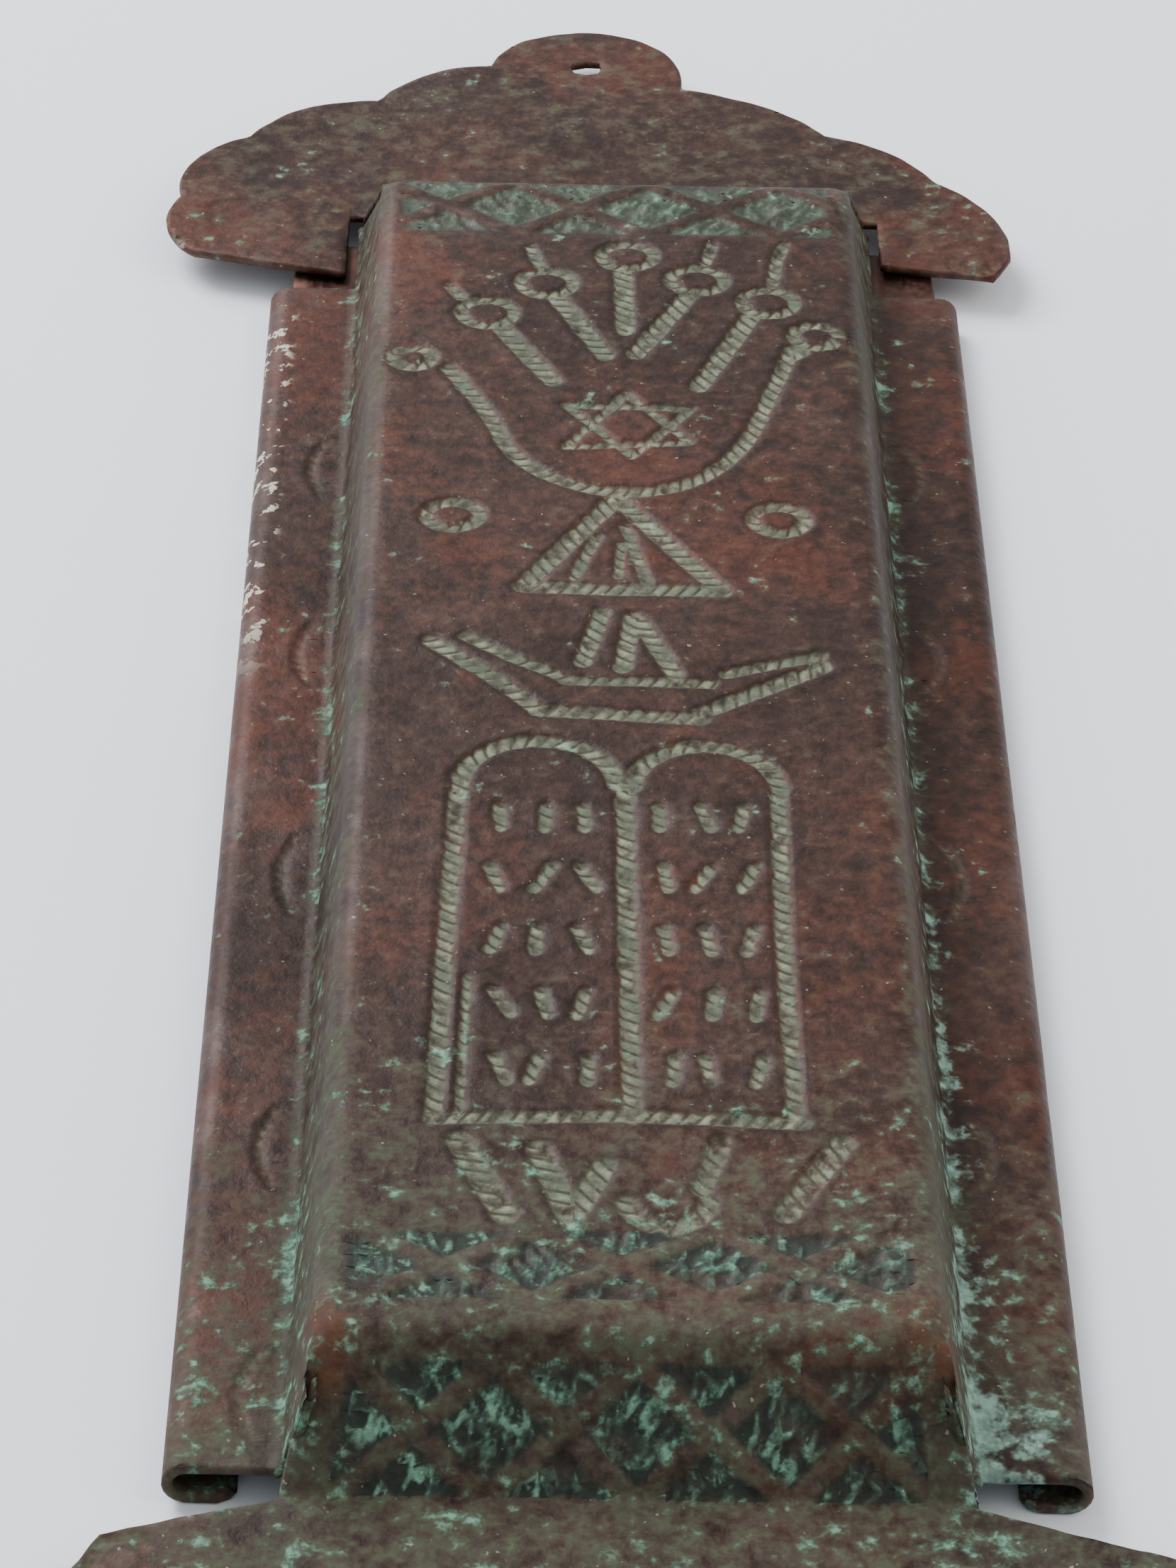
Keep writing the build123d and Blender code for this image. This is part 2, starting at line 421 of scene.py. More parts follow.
def latticeGap(points, band):
    # negative inside the sunk diamonds and half diamonds between the crossed bars
    half = (band["high"] - band["low"]) / 2
    x = points[:, 0] - band["first"]
    y = points[:, 1] - (band["high"] + band["low"]) / 2
    slope = 2 * half / band["pitch"]
    tilt = math.hypot(1, slope)
    bars = np.full(len(points), farAway)
    for lean in (-1, 1):
        offset = (y - lean * slope * x) / (2 * half)
        toBar = np.abs(offset - np.round(offset)) * 2 * half / tilt
        bars = np.minimum(bars, toBar)
    edge = band["bar"] / 2 - bars
    rail = np.abs(y) - half
    wall = np.abs(points[:, 0]) - size["bandHalf"]
    return np.maximum(np.maximum(edge, rail), wall)


def fieldGap(points):
    return np.minimum.reduce([latticeGap(points, band) for band in lattice])


def scatterChisels(seed=5, spacing=0.62):
    # short chisel cuts that roughen the sunk fields
    dice = random.Random(seed)
    marks = StrokeSet()
    places = []
    for band in lattice:
        rows = int((band["high"] - band["low"]) / spacing)
        for r in range(rows):
            for c in range(int(31 / spacing)):
                places.append((-15.5 + (c + dice.random()) * spacing,
                               band["low"] + (r + dice.random()) * spacing))
    gaps = fieldGap(np.array(places))
    for (x, y), gap in zip(places, gaps):
        if gap > -0.25 or dice.random() < 0.35:
            continue
        angle = dice.gauss(1.9 if x < 0 else 1.3, 0.35)
        reach = dice.uniform(0.35, 0.8)
        marks.line([(x - reach * math.cos(angle), y - reach * math.sin(angle)),
                    (x + reach * math.cos(angle), y + reach * math.sin(angle))], dice.uniform(0.22, 0.4))
    return marks


chisels = scatterChisels()
print("pattern:", len(strokes.rows), "stroke runs,", len(chisels.rows), "chisel cuts")


section, sectionRun = roundedPath(
    [(0, boxTop), (size["footWidth"] / 2 - size["sideRun"], boxTop), (size["footWidth"] / 2, stripTop),
     (size["bodyWidth"] / 2, stripTop), (size["bodyWidth"] / 2, 0),
     (size["bodyWidth"] / 2 - size["lipReach"], 0)],
    [size["topBend"], size["footBend"], size["hemBend"], size["hemBend"]])
footTurn = math.atan2(boxRise, size["endRun"])
footReach = size["footBend"] * math.tan(footTurn / 2)
jointStart = size["footStart"] - footReach
jointEnd = size["footEnd"] + footReach
profile, profileRun = roundedPath(
    [(jointStart, stripTop), (size["footStart"], stripTop),
     (size["footStart"] + size["endRun"], boxTop), (size["footEnd"] - size["endRun"], boxTop),
     (size["footEnd"], stripTop), (jointEnd, stripTop)],
    [size["footBend"], size["ridgeBend"], size["ridgeBend"], size["footBend"]])
# the developed length is counted so that it equals y on the box's flat top
profileRun = profileRun - np.interp(0, profile[:, 0], profileRun)

topHalf = size["footWidth"] / 2 - size["sideRun"]
sideLean = math.atan2(boxRise, size["sideRun"])
bendReach = size["topBend"] * math.tan(sideLean / 2)
seamRun = topHalf - bendReach + size["topBend"] * sideLean     # where the wall begins, developed
widest = section[:, 0].argmax()
footRun = np.interp(size["footWidth"] / 2, section[:widest, 0], sectionRun[:widest])
lipRun = sectionRun[-1]
grid = seamRun / size["footColumns"]
ridgeTurnStart = size["ridgeBend"] * math.tan(footTurn / 2)
ridgeStart = size["footStart"] + size["endRun"] + ridgeTurnStart
ridgeEnd = size["footEnd"] - size["endRun"] - ridgeTurnStart


def sectionAt(u):
    u = np.abs(u)
    return np.interp(u, sectionRun, section[:, 0]), np.interp(u, sectionRun, section[:, 1])


def profileAt(v):
    return np.interp(v, profileRun, profile[:, 0]), np.interp(v, profileRun, profile[:, 1])


def outsideBody(flat):
    # above zero beyond the cut edges of the box, its walls and the strips, which overlap
    u = np.abs(flat[:, 0])
    y = profileAt(flat[:, 1])[0]
    height = np.clip((sectionAt(u)[1] - stripTop) / boxRise, 0, 1)
    rough = 0.12 * wobble(flat, 2.5, 3) + 0.2 * wobble(flat, 9, 4)
    wallStart = size["footStart"] + size["endGap"] + size["endRun"] * height
    wallStop = size["footEnd"] - size["endGap"] - size["endRun"] * height
    wall = np.maximum(np.maximum(wallStart - y, y - wallStop) + 0.3 * rough, u - footRun - 0.3)
    middle = (size["stripStart"] + size["stripEnd"]) / 2
    half = (size["stripEnd"] - size["stripStart"]) / 2
    corner = size["cornerRound"]
    pastEnd = np.abs(y - middle) - (half - corner) + 0.5 * rough
    pastLip = u - (lipRun - corner) + rough
    strip = np.hypot(np.maximum(pastEnd, 0), np.maximum(pastLip, 0))
    strip += np.minimum(np.maximum(pastEnd, pastLip), 0) - corner
    return np.minimum(np.minimum(u - seamRun, wall), strip)


def foldBody(flat):
    # walls and strips follow the cross section, the middle strip follows the profile along the case
    u, v = flat[:, 0], flat[:, 1]
    x, z = sectionAt(u)
    y, zAlong = profileAt(v)
    x = x * np.sign(u)
    down = np.clip((boxTop - zAlong) / boxRise, 0, 1)
    sideZ = z + zAlong - boxTop
    endX = u / seamRun * (topHalf + size["sideRun"] * down)
    turned = np.where(v < 0, smoothStep(ridgeStart, ridgeStart - size["ridgeReach"], v),
                      smoothStep(ridgeEnd, ridgeEnd + size["ridgeReach"], v))
    turned[np.abs(u) > seamRun + 0.01] = 0
    onWall = np.abs(u) > seamRun + 0.01
    foldedX = np.where(onWall, x, x * (1 - turned) + endX * turned)
    foldedZ = np.where(onWall, z, sideZ * (1 - turned) + zAlong * turned)
    return np.stack([foldedX, y, foldedZ], 1)


def bendSpacing(flat):
    # mesh spacing that the folds need, on both sides of the sheet
    u, v = np.abs(flat[:, 0]), flat[:, 1]
    y = profileAt(v)[0]
    bend = (np.abs(u - seamRun + 0.9) < 1.4) | (np.abs(u - footRun) < 0.7) | (
        (u > lipRun - 7.2) & (u < lipRun - 2.6))
    ridge = (np.abs(y - size["footStart"] - size["endRun"]) < 1.3) | (
        np.abs(y - size["footEnd"] + size["endRun"]) < 1.3)
    foot = ((v < profileRun[0] + 0.8) | (v > profileRun[-1] - 0.8)) & (u < seamRun + 0.2)
    return np.where(foot, grid / 4, np.where(bend | ridge, grid / 2, grid))


def toolSpacing(flat):
    # finer spacing under the tool marks, on the face only
    edge = strokes.measure(flat)[0]
    spacing = np.where(edge < 0.27, grid / 4, np.where(edge < 1.0, grid / 2, grid))
    return np.where(fieldGap(flat) < 0.05, grid / 4, spacing)


numberNames = ("flatU", "flatV", "zone", "depth", "offX", "offY", "offZ")


def tagFlat(bm, zone):
    # every point remembers its place on the flat sheet
    for name in numberNames:
        bm.verts.layers.float.new(name)
    flatU, flatV, zoneLayer = [bm.verts.layers.float[name] for name in numberNames[:3]]
    for v in bm.verts:
        v[flatU], v[flatV], v[zoneLayer] = v.co.x, v.co.y, zone


def makeBody():
    columns = 2 * math.ceil(lipRun / grid)
    length = profileRun[-1] - profileRun[0]
    rows = round(length / grid)
    middle = (profileRun[-1] + profileRun[0]) / 2
    bm = flatGrid(columns, rows, columns * grid, length, (0, middle))
    refine(bm, bendSpacing, 2)
    snip(bm, outsideBody)
    tagFlat(bm, 0)
    flat = np.array([v.co[:2] for v in bm.verts])
    for v, place in zip(bm.verts, foldBody(flat)):
        v.co = place
    return bm


crestShape = {
    "left": [(-33.0, 69.3), (-32.3, 74.0), (-31.7, 79.2), (-27.7, 83.1), (-23.4, 87.6), (-18.0, 88.9),
             (-14.4, 93.0), (-9.5, 94.8)],
    "right": [(5.4, 91.9), (11.5, 89.3), (16.3, 84.7), (21.5, 81.7), (24.4, 78.0), (28.2, 73.3),
              (29.3, 67.0)],
    "lobe": (-2.6, 100.8),
    "hole": (-2.0, 94.7),
    "holeRadius": 1.2,
    "wingLeft": (-31.0, 66.2),
    "wingRight": (27.9, 64.4),
    "shoulders": {1: ((-19.2, 63.3), (19.2, 65.6)), -1: ((-18.4, 61.66), (18.4, 61.66))},    # by end
}


def crestOutline(leftShoulder, rightShoulder):
    # scallops round the edge, then straight in under the box, where the joint cuts it off
    left, right = crestShape["left"], crestShape["right"]
    outline = [crestShape["wingLeft"]]
    outline += arcThrough(crestShape["wingLeft"], left[0], left[1])
    for a, b, c in (left[1:4], left[3:6], left[5:8]):
        outline += arcThrough(a, b, c, 16)
    outline += arcThrough(left[7], crestShape["lobe"], right[0], 40)
    for a, b, c in (right[0:3], right[2:5], right[4:7]):
        outline += arcThrough(a, b, c, 16)
    outline += [crestShape["wingRight"], rightShoulder, (17, rightShoulder[1] - 4)]
    outline += [(-17, leftShoulder[1] - 4), leftShoulder]
    return [tuple(p) for p in outline]


def makeCrest(end):
    # end is 1 for the upper crest and -1 for the lower one, which is turned round
    joint = jointEnd if end > 0 else -jointStart
    scale = size["footWidth"] / 2 / seamRun
    width = grid * scale
    outline = crestOutline(*crestShape["shoulders"][end])
    below = math.ceil((joint - 60) / grid)
    above = math.ceil((coverHigh.y + 1 - joint) / grid)
    columns = 2 * math.ceil((coverHigh.x + 1) / width)
    low, high = joint - below * grid, joint + above * grid
    bm = flatGrid(columns, below + above, columns * width, high - low, (0, (low + high) / 2))
    slot = (size["footColumns"] + (1 if end > 0 else 0)) * width
    gone = [f for f in bm.faces if abs(f.calc_center_median().x) < slot and f.calc_center_median().y < joint]
    bmesh.ops.delete(bm, geom=gone, context='FACES')

    def wanted(flat):
        byJoint = (np.abs(flat[:, 1] - joint) < 0.8) & (np.abs(flat[:, 0]) < size["footWidth"] / 2 + 0.2)
        edge = np.abs(insideGap(outline, flat))
        return np.where(byJoint, grid / 4, np.where(edge < 0.9, grid / 2, grid))

    def outside(flat):
        rough = 0.1 * wobble(flat, 1.6, 8 + end) + 0.14 * wobble(flat, 5, 9 + end)
        near = smoothStep(joint - 0.4, joint - 2, flat[:, 1]) * (np.abs(flat[:, 0]) > 19.8)
        calm = np.where(flat[:, 1] > joint + 0.5, 1, near)
        hole = crestShape["holeRadius"] - np.hypot(flat[:, 0] - crestShape["hole"][0],
                                                   (flat[:, 1] - crestShape["hole"][1]) * 1.12)
        return np.maximum(insideGap(outline, flat) + rough * calm, hole)

    refine(bm, wanted, 2)
    snip(bm, outside)
    for v in bm.verts:
        v.co.x, v.co.y = end * v.co.x, end * v.co.y
    tagFlat(bm, end)
    for v in bm.verts:
        v.co.z = stripTop
    return bm


punch = {
    "places": [(-28.2, 71.7), (24.5, 69.3), (-21.4, 71.2), (26.5, 66.3), (21.0, 69.0)],    # on each crest
    "radius": 1.55,            # mm
    "width": 0.38,
    "depth": 0.22,
}
studs = [(-7.0, 62.0), (2.4, 62.0), (11.8, 62.0), (-7.3, -60.8), (8.0, -60.6)]    # raised in the end bands
strokeTick = 0.95              # mm between the slanted ticks in a struck line
tickSlant = 0.6


def hammered(place):
    # hand-worked unevenness of the sheet, from broad to fine dents
    return sum(height * wobble(place, dent, seed) for dent, height, seed in
               ((11, 0.16, 20), (3.6, 0.07, 30), (1.1, 0.02, 40)))


def chaseDepth(flat):
    # how deep the tools went on the body
    edge, along, across = strokes.measure(flat)
    sunk = smoothStep(0.12, -0.28, edge) * np.where(np.abs(flat[:, 0]) > footRun, 0.5, 1.0)
    lip = np.exp(-((edge - 0.3) / 0.22) ** 2)
    rope = np.sin(2 * math.pi * (along + tickSlant * across) / strokeTick)
    depth = -size["strokeDepth"] * sunk + size["lipHeight"] * lip + size["ropeHeight"] * rope * sunk
    inField = smoothStep(0.1, -0.25, fieldGap(flat))
    cut = chisels.measure(flat)[0]
    depth += inField * (-size["fieldDepth"] + size["cutHeight"] * smoothStep(0.12, -0.1, cut))
    for x, y in studs:
        depth += size["studHeight"] * np.exp(-(np.hypot(flat[:, 0] - x, flat[:, 1] - y) / 0.75) ** 4)
    return depth


def ringAway(flat, zone):
    # distance of crest points from each punched ring; the lower crest is the upper one turned round
    turned = flat * np.sign(zone)[:, None]
    return [np.abs(np.hypot(*(turned - place).T) - punch["radius"]) for place in punch["places"]]


def foldSheet(flat, zone):
    # the folded place of each flat point
    place = foldBody(flat)
    crest = zone != 0
    place[crest] = np.stack([flat[crest, 0], flat[crest, 1], np.full(crest.sum(), stripTop)], 1)
    return place


def sheetNormal(flat, zone, step=0.03):
    # which way the folded sheet faces; at a cut edge only the side on the sheet counts
    here = foldBody(flat)

    def slope(shift):
        ahead, behind = foldBody(flat + shift) - here, here - foldBody(flat - shift)
        off = [np.abs(np.linalg.norm(d, axis=1) - step) for d in (ahead, behind)]
        return np.where((off[0] < off[1])[:, None], ahead, behind)

    normal = np.cross(slope(np.array((step, 0))), slope(np.array((0, step))))
    normal /= np.maximum(np.linalg.norm(normal, axis=1), 1e-9)[:, None]
    normal[zone != 0] = (0, 0, 1)
    return normal


def joinParts():
    bm = makeBody()
    for end in (1, -1):
        part = makeCrest(end)
        mesh = bpy.data.meshes.new("crestPart")
        part.to_mesh(mesh)
        part.free()
        bm.from_mesh(mesh)
        bpy.data.meshes.remove(mesh)
    bmesh.ops.remove_doubles(bm, verts=bm.verts, dist=0.05)
    bmesh.ops.delete(bm, geom=[v for v in bm.verts if not v.link_faces], context='VERTS')
    bmesh.ops.recalc_face_normals(bm, faces=bm.faces)
    top = max(bm.faces, key=lambda f: f.calc_center_median().z)
    if top.normal.z < 0:
        bmesh.ops.reverse_faces(bm, faces=bm.faces)
    bm.normal_update()
    return bm


def makeCover():
    # folded and thickened first, then only the face is refined and chased
    bm = joinParts()
    flatU, flatV, zoneLayer, depth, *offLayers = [bm.verts.layers.float[name] for name in numberNames]

    def flatOf(verts):
        return np.array([(v[flatU], v[flatV]) for v in verts]), np.round([v[zoneLayer] for v in verts])

    def folded(verts):
        off = np.array([[v[layer] for layer in offLayers] for v in verts])
        flat, zone = flatOf(verts)
        return foldSheet(flat, zone) + off, sheetNormal(flat, zone)

    def rememberOffsets(verts):
        # how far each point is from its plain folded place, where edges were joined or rounded
        for v, home in zip(verts, foldSheet(*flatOf(verts))):
            for layer, value in zip(offLayers, v.co - Vector(home)):
                v[layer] = value

    def underside(verts):
        place, normal = folded(verts)
        return place - normal * size["sheet"]

    rememberOffsets(bm.verts)
    thicken(bm, size["sheet"], size["cutRound"], underside)
    rememberOffsets([v for v in bm.verts if v[depth] < 0.001])

    # only the face gets the fine spacing; where two parts of the sheet meet it stays as it is
    for f in bm.faces:
        zones = {round(v[zoneLayer]) for v in f.verts}
        f.hide = len(zones) > 1 or any(v[depth] > 0.001 for v in f.verts)
    for e in bm.edges:
        e.hide = all(f.hide for f in e.link_faces)

    def facePlaces(faces):
        return [(sum(v[flatU] for v in f.verts) / len(f.verts),
                 sum(v[flatV] for v in f.verts) / len(f.verts)) for f in faces]

    def faceSpacing(flat):
        return np.where(np.abs(flat[:, 1]) > profileRun[-1], grid, toolSpacing(flat))

    refine(bm, faceSpacing, 2, facePlaces)
    face = [v for v in bm.verts if v[depth] < 0.001]
    flat, zone = flatOf(face)
    for v, place in zip(face, folded(face)[0]):
        v.co = place
    bm.normal_update()

    # the face is chased, then the whole sheet gets its dents, except where it lies on the table
    push = np.zeros(len(face))
    body = zone == 0
    push[body] = chaseDepth(flat[body])
    for away in ringAway(flat[~body], zone[~body]):
        push[~body] -= punch["depth"] * np.exp(-(away / punch["width"]) ** 2)
    for v, out in zip(face, push):
        v.co += v.normal * float(out)
    place = np.array([v.co[:] for v in bm.verts])
    onCrest = smoothStep(63, 72, np.abs(place[:, 1]))
    lift = hammered(place) + 0.35 * wobble(place, 16, 51) * onCrest
    lift *= smoothStep(0.2, 2.0, place[:, 2])
    for v, up in zip(bm.verts, lift):
        v.co.z += float(up)
    for item in (*bm.faces, *bm.edges):
        item.hide = False
    return bm


def storeNumbers(mesh, name, values):
    attribute = mesh.attributes.get(name) or mesh.attributes.new(name, 'FLOAT', 'POINT')
    attribute.data.foreach_set("value", np.asarray(values, np.float32))


def readNumbers(mesh, name):
    values = np.zeros(len(mesh.vertices), np.float32)
    mesh.attributes[name].data.foreach_get("value", values)
    return values.astype(float)


def markCover(mesh):
    # numbers for the finish: where the tools went, on every point
    flat = np.stack([readNumbers(mesh, "flatU"), readNumbers(mesh, "flatV")], 1)
    zone = readNumbers(mesh, "zone")
    edge, along, across = strokes.measure(flat)
    crest = np.abs(zone) > 0.5
    edge[crest] = np.min(ringAway(flat[crest], zone[crest]), 0) - punch["width"]
    storeNumbers(mesh, "strokeEdge", np.clip(edge, -2, 3))
    storeNumbers(mesh, "strokeAlong", along)
    storeNumbers(mesh, "strokeAcross", across)
    storeNumbers(mesh, "fieldEdge", np.where(crest, farAway, fieldGap(flat)))
    storeNumbers(mesh, "chiselEdge", np.where(crest, farAway, chisels.measure(flat)[0]))
    for name in numberNames:
        mesh.attributes.remove(mesh.attributes[name])


print("cutting and folding the cover")
cover = finishMesh(makeCover(), "frontCover")
print("cover:", sum(len(p.vertices) - 2 for p in cover.data.polygons), "triangles")
markCover(cover.data)
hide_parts("front_cover")
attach(cover, "cover")




backPlateSize = {
    "corner": 1.5,             # mm
    "edgeRound": 0.25,
    "spacing": 1.6,
    "buckle": 0.06,            # how far the sheet wanders from flat
}


def makeBackPlate():
    # flat rectangle with turned corners, refined so that it can be a little uneven
    low, high, corner = plateLow, plateHigh, backPlateSize["corner"]
    spacing = backPlateSize["spacing"]
    columns = round((high.x - low.x) / spacing)
    rows = round((high.y - low.y) / spacing)
    middle = (low + high) / 2
    bm = flatGrid(columns, rows, high.x - low.x, high.y - low.y, middle[:2])
    bmesh.ops.translate(bm, vec=(0, 0, high.z), verts=bm.verts)
    for v in bm.verts:
        inX = abs(v.co.x - middle.x) - ((high.x - low.x) / 2 - corner)
        inY = abs(v.co.y - middle.y) - ((high.y - low.y) / 2 - corner)
        if inX > 0 and inY > 0 and math.hypot(inX, inY) > corner:
            shrink = corner / math.hypot(inX, inY)
            v.co.x -= math.copysign(inX * (1 - shrink), v.co.x - middle.x)
            v.co.y -= math.copysign(inY * (1 - shrink), v.co.y - middle.y)
    bm.normal_update()
    bmesh.ops.solidify(bm, geom=bm.faces[:], thickness=high.z - low.z)
    bmesh.ops.recalc_face_normals(bm, faces=bm.faces)
    rims = [e for e in bm.edges if e.is_manifold and e.calc_face_angle() > 1.0]
    bmesh.ops.bevel(bm, geom=rims, offset=backPlateSize["edgeRound"], segments=2, profile=0.5,
                    affect='EDGES', clamp_overlap=True)
    place = np.array([v.co[:] for v in bm.verts])
    away = np.minimum(place[:, 0] - low.x, high.x - place[:, 0])
    lift = backPlateSize["buckle"] * wobble(place, 24, 71) * smoothStep(2, 6, away)
    for v, up in zip(bm.verts, lift):
        v.co.z += float(up)
    return bm


print("cutting the back plate")
backPlate = finishMesh(makeBackPlate(), "backPlate")
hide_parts("back_plate")
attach(backPlate, "plate")


parchmentSize = {
    "layer": 0.19,             # mm, room that one turn takes up at the edge of the roll
    "skin": 0.152,
    "wall": 1.4,               # thickness of all turns together
    "slack": 0.02,
    "turns": 5.4,
    "around": 36,              # places per turn
    "along": 40,
    "endShift": 0.5,           # how far the rolled ends are out of line
}


def makeParchment():
    # one strip rolled from the inside out
    roll = parchmentSize
    middle = (rollLow + rollHigh) / 2
    halfLength = (rollHigh.y - rollLow.y) / 2 - roll["endShift"]
    pitch = (roll["wall"] - roll["layer"]) / roll["turns"]
    start = (rollHigh.x - rollLow.x) / 2 - roll["wall"] + roll["layer"] / 2 - roll["slack"]
    bm = bmesh.new()
    rows = []
    for i in range(round(roll["turns"] * roll["around"]) + 1):
        turned = i / roll["around"]
        r = start + pitch * turned
        x, z = middle.x + r * math.cos(2 * math.pi * turned), middle.z + r * math.sin(2 * math.pi * turned)
        shift = roll["endShift"] * 0.8 * noise.noise(Vector((i / 40, 3.3, 0.7)))
        rows.append([bm.verts.new((x, middle.y + halfLength * (2 * k / roll["along"] - 1) + shift, z))
                     for k in range(roll["along"] + 1)])
    for rowA, rowB in zip(rows, rows[1:]):
        for k in range(roll["along"]):
            bm.faces.new((rowA[k], rowA[k + 1], rowB[k + 1], rowB[k]))
    bm.normal_update()
    bmesh.ops.solidify(bm, geom=bm.faces[:], thickness=roll["skin"])
    bmesh.ops.recalc_face_normals(bm, faces=bm.faces)
    return bm


print("rolling the parchment")
parchment = finishMesh(makeParchment(), "parchmentRoll")
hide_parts("scroll")
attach(parchment, "parchment")


def hexColour(text):
    # sRGB hex to the linear values Blender works with
    parts = [int(text[k:k + 2], 16) / 255 for k in (1, 3, 5)]
    return [p / 12.92 if p <= 0.04045 else ((p + 0.055) / 1.055) ** 2.4 for p in parts] + [1.0]


def perMm(feature):
    # pattern scale for Object coordinates in metres, from the feature's size in mm
    return 1000 / feature


def newMaterial(name):
    material = bpy.data.materials.new(name)
    material.use_nodes = True
    material.node_tree.nodes.clear()
    return material, material.node_tree


shortKinds = {
    # short name: node type, its settings, the sockets filled in order, the output used
    "*": ("Math", {"operation": 'MULTIPLY'}, (0, 1), 0),
    "+": ("Math", {"operation": 'ADD'}, (0, 1), 0),
    "-": ("Math", {"operation": 'SUBTRACT'}, (0, 1), 0),
    "*+": ("Math", {"operation": 'MULTIPLY_ADD'}, (0, 1, 2), 0),
    "max": ("Math", {"operation": 'MAXIMUM'}, (0, 1), 0),
    "abs": ("Math", {"operation": 'ABSOLUTE'}, (0,), 0),
    "sin": ("Math", {"operation": 'SINE'}, (0,), 0),
    "step": ("MapRange", {"interpolation_type": 'SMOOTHSTEP'}, (0, 1, 2, 3, 4), 0),
    "cover": ("Mix", {"data_type": 'RGBA'}, ("Factor", 7, 6), 2),
    "tint": ("Mix", {"data_type": 'RGBA', "blend_type": 'MULTIPLY'}, ("Factor", 7, 6), 2),
    "ramp": ("ValToRGB", {}, (0,), 0),
    "grain": ("TexNoise", {}, ("Vector", "Scale", "Detail", "Roughness", "Distortion"), 0),
}


def addNode(tree, kind, *values, stops=(), **settings):
    # one node with its settings and links: values in socket order for a short kind, else {socket: value}
    nodeType, preset, sockets, used = shortKinds.get(kind, (kind, {}, None, None))
    node = tree.nodes.new("ShaderNode" + nodeType)
    for key, value in {**preset, **settings}.items():
        setattr(node, key, value)
    for socket, value in zip(sockets, values) if sockets else dict(*values).items():
        if isinstance(value, bpy.types.NodeSocket):
            tree.links.new(value, node.inputs[socket])
        else:
            node.inputs[socket].default_value = hexColour(value) if isinstance(value, str) else value
    for k, (place, colour) in enumerate(stops):
        element = node.color_ramp.elements[k] if k < 2 else node.color_ramp.elements.new(place)
        element.position, element.color = place, hexColour(colour)
    return node if sockets is None else node.outputs[used]


def weigh(add, *parts):
    # the sum of several strengths, each times its weight
    total = 0.0
    for strength, weight in parts:
        total = add("*+", strength, weight, total)
    return total


agedCopperLook = {
    "browns": ((0.0, "#2F201A"), (0.35, "#39271F"), (0.65, "#402B23"), (1.0, "#4A3228")),
    "worn": "#5B3123",
    "bruised": "#57301F",
    "film": "#4B463A",         # greyish olive skin, mostly low on the piece and on the end plates
    "filmGreen": "#47513F",
    # grey mauve for the top edges: partly polish, partly a painted highlight
    "polishAndHighlight": "#62534D",
    "fill": "#7A7F68",
    "fillLight": "#93967E",
    "fillDark": "#56604F",
    "shade": "#2B201B",
    "fieldGround": "#272E29",
    "verdigris": "#4A6D5B",
    "brightVerdigris": "#7BA78E",
    "paleCrust": "#94ABA2",
    "cream": "#CFC9B6",
    "roughness": 0.52,
    "metallic": 0.35,          # where nothing covers the metal
    "grains": {
        # size of the features in mm, then detail, roughness and distortion
        "broad": (16, 5, 0.6, 0.3),
        "middle": (3.0, 5, 0.62),
        "crust": (1.2, 3, 0.6, 0.2),
        "fine": (0.5, 3, 0.6),
        "speckle": (0.45, 2, 0.5),
        "wear": (20, 4, 0.6, 0.6),
        # noise for where the edge polish and painted highlight show
        "handling": (9, 4, 0.6),
        "spread": (5, 4, 0.6),
    },
    "crumbSize": 1.1,          # mm
    "crumbStir": (0.9, 1.6),   # mm, size of the noise that bends the crumbs and how far it bends them
    "zones": {
        # a zone is where its fades overlap: along which axis, where it starts and where it is full, in mm
        "lobe": [("y", 88, 96)],
        "lower": [("y", -20, -56)],
        "upper": [("y", 52, 72)],
        "onBox": [("y", -62.5, -60.5), ("y", 70.5, 68.5)],
        "walls": [("outward", 15.0, 17.2), ("outward", 20.0, 18.8)],
        "foot": [("outward", 20.0, 18.8), ("outward", 17.2, 18.4)],
        "strips": [("outward", 18.5, 20.5)],
        "pastWalls": [("outward", 18.0, 19.5)],
        "bruises": [("outward", 13.5, 16.0), ("outward", 18.2, 17.4), ("y", -51.5, -54.5), ("y", -59, -57)],
        "leftEnd": [("x", -10.0, -12.5), ("y", -56.0, -57.5)],
        "upperBand": [("y", 30, 60)],
        "stripEnd": [("y", -51, -58), ("x", 18.0, 19.5), ("x", 24.5, 21.5)],
        "rightFoot": [("x", 17.2, 18.4), ("x", 22.2, 19.6)],
        "downRight": [("y", 45, -50)],
        "stripChips": [("x", -22.6, -23.6), ("y", 12, 22), ("y", 60, 59)],
        "wingChips": [("x", -31.2, -32.0), ("y", 68, 66)],
    },
}


